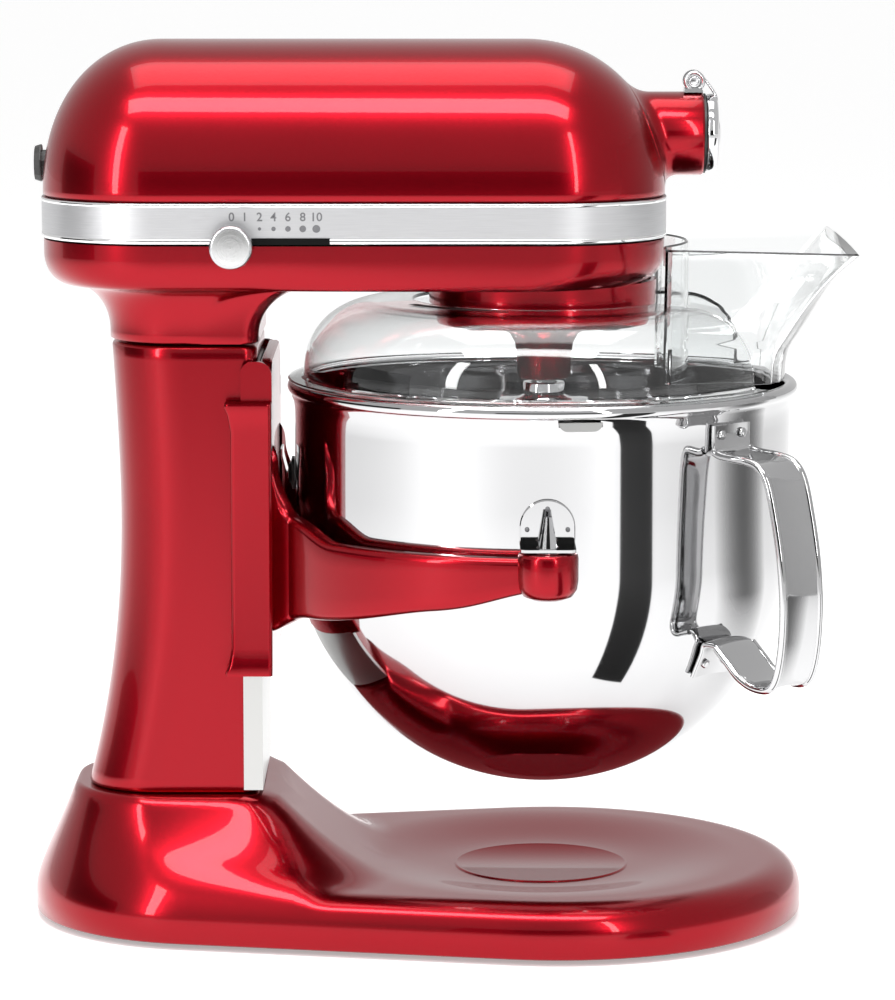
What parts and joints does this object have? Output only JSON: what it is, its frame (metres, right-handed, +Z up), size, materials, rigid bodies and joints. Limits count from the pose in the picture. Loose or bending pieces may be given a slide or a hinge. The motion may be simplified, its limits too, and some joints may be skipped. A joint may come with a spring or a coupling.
{
  "type": "stand mixer",
  "caption": "Bowl-lift stand mixer: red cast body, steel bowl on a sliding support, planetary dough hook, clear pouring shield and front drive hub.",
  "frame": {"origin": "on the counter, under the middle of the mixer's overall length, on its plane of symmetry", "axes": "+X towards the attachment hub at the front, +Y towards the bowl lift lever's side, +Z up"},
  "size_m": [0.385, 0.2882, 0.4195],
  "materials": {
    "paint": "deep red metallic paint under clear lacquer",
    "band": "fine brushed, polished edges",
    "chrome": "bright plated",
    "bowl": "mirror polished stainless steel",
    "steel": "machined steel",
    "bronze": "machined bronze",
    "copper": "enamelled copper winding and bars",
    "black": "moulded black plastic",
    "board": "green circuit board",
    "rubber": "black rubber",
    "clear": "clear moulded plastic"
  },
  "bodies": {
    "stand": {"base": "paint", "foot_1": "rubber", "foot_2": "rubber", "foot_3": "rubber", "foot_4": "rubber", "foot_5": "rubber", "column": "paint", "head_lower": "paint", "head_upper": "paint", "trim_band": "band", "gear_housing": "paint", "ring_gear": "steel", "gear_bracket": "steel", "hub_sleeve": "steel", "hinge_ear": "chrome", "hinge_pin": "steel", "motor_stator": "steel", "rear_bearing_plate": "steel", "front_bearing_plate": "steel", "brush_holder_left": "bronze", "brush_holder_right": "bronze", "speed_board": "board", "cord_inlet": "black", "slide_track": "chrome", "lever_bush": "bronze"},
    "planetary": {"planet_carrier": "paint", "centre_shaft": "steel", "centre_gear": "steel"},
    "beater": {"beater_shaft": "steel", "planet_pinion": "steel"},
    "hook": {"dough_hook": "chrome"},
    "worm_gear": {"drive_pinion": "steel", "worm_wheel": "bronze"},
    "armature_body": {"armature": "copper", "commutator": "copper", "motor_shaft": "steel", "cooling_fan": "black"},
    "hub_drive": {"hub_gear": "steel", "hub_drive_shaft": "steel"},
    "speed_control": {"speed_knob": "band", "speed_arm": "steel"},
    "cover": {"hub_cover": "chrome"},
    "thumbscrew": {"hub_thumbscrew": "black"},
    "carriage": {"bowl_support": "paint", "lift_tongue": "steel", "locating_pin_left": "chrome", "locating_pin_right": "chrome", "bowl": "bowl", "bowl_bracket_left": "bowl", "bowl_bracket_right": "bowl", "bowl_handle": "bowl", "rear_stud": "black", "pouring_shield": "clear"},
    "latch": {"rear_latch": "chrome"},
    "lever": {"lift_shaft": "steel", "lift_lever": "chrome", "lever_grip": "black"}
  },
  "joints": [
    {"name": "bowl_lift", "type": "slide", "parent": "stand", "child": "carriage", "axis": [0, 0, 1], "range_m": [-0.035, 0]},
    {"name": "lift_lever_turn", "type": "hinge", "parent": "stand", "child": "lever", "pos_m": [-0.1205, 0, 0.195], "axis": [0, 1, 0], "range_deg": [0, 100]},
    {"name": "latch_flex", "type": "hinge", "parent": "carriage", "child": "latch", "pos_m": [-0.0743, 0, 0.188], "axis": [0, -1, 0], "range_deg": [0, 3], "stiffness_Nm_per_rad": 0.5},
    {"name": "planetary_spin", "type": "hinge", "parent": "stand", "child": "planetary", "pos_m": [0.0515, 0, 0.29], "axis": [0, 0, 1], "continuous": true},
    {"name": "beater_spin", "type": "hinge", "parent": "planetary", "child": "beater", "pos_m": [0.0515, -0.035, 0.29], "axis": [0, 0, 1], "continuous": true},
    {"name": "hook_drop", "type": "slide", "parent": "beater", "child": "hook", "axis": [0, 0, -1], "range_m": [0, 0.02]},
    {"name": "worm_wheel_spin", "type": "hinge", "parent": "stand", "child": "worm_gear", "pos_m": [0.01572, 0.022, 0.34], "axis": [0, 0, 1], "continuous": true},
    {"name": "armature_spin", "type": "hinge", "parent": "stand", "child": "armature_body", "pos_m": [-0.0985, -0.0075, 0.368], "axis": [1, 0, 0], "continuous": true},
    {"name": "hub_drive_spin", "type": "hinge", "parent": "stand", "child": "hub_drive", "pos_m": [0.0515, 0, 0.375], "axis": [1, 0, 0], "continuous": true},
    {"name": "speed_slide", "type": "slide", "parent": "stand", "child": "speed_control", "axis": [1, 0, 0], "range_m": [0, 0.039]},
    {"name": "hub_cover_hinge", "type": "hinge", "parent": "stand", "child": "cover", "pos_m": [0.1239, 0, 0.4003], "axis": [0, -1, 0], "range_deg": [0, 100]},
    {"name": "thumbscrew_turn", "type": "hinge", "parent": "stand", "child": "thumbscrew", "pos_m": [0.1157, 0, 0.375], "axis": [0, 1, 0], "continuous": true}
  ],
  "couplings": [
    {"joint": "lift_lever_turn", "follows": "bowl_lift", "rad_per_m": -49.867},
    {"joint": "beater_spin", "follows": "planetary_spin", "ratio": -4},
    {"joint": "worm_wheel_spin", "follows": "planetary_spin", "ratio": -3.2},
    {"joint": "armature_spin", "follows": "planetary_spin", "ratio": -32},
    {"joint": "hub_drive_spin", "follows": "planetary_spin", "ratio": 1.3}
  ]
}
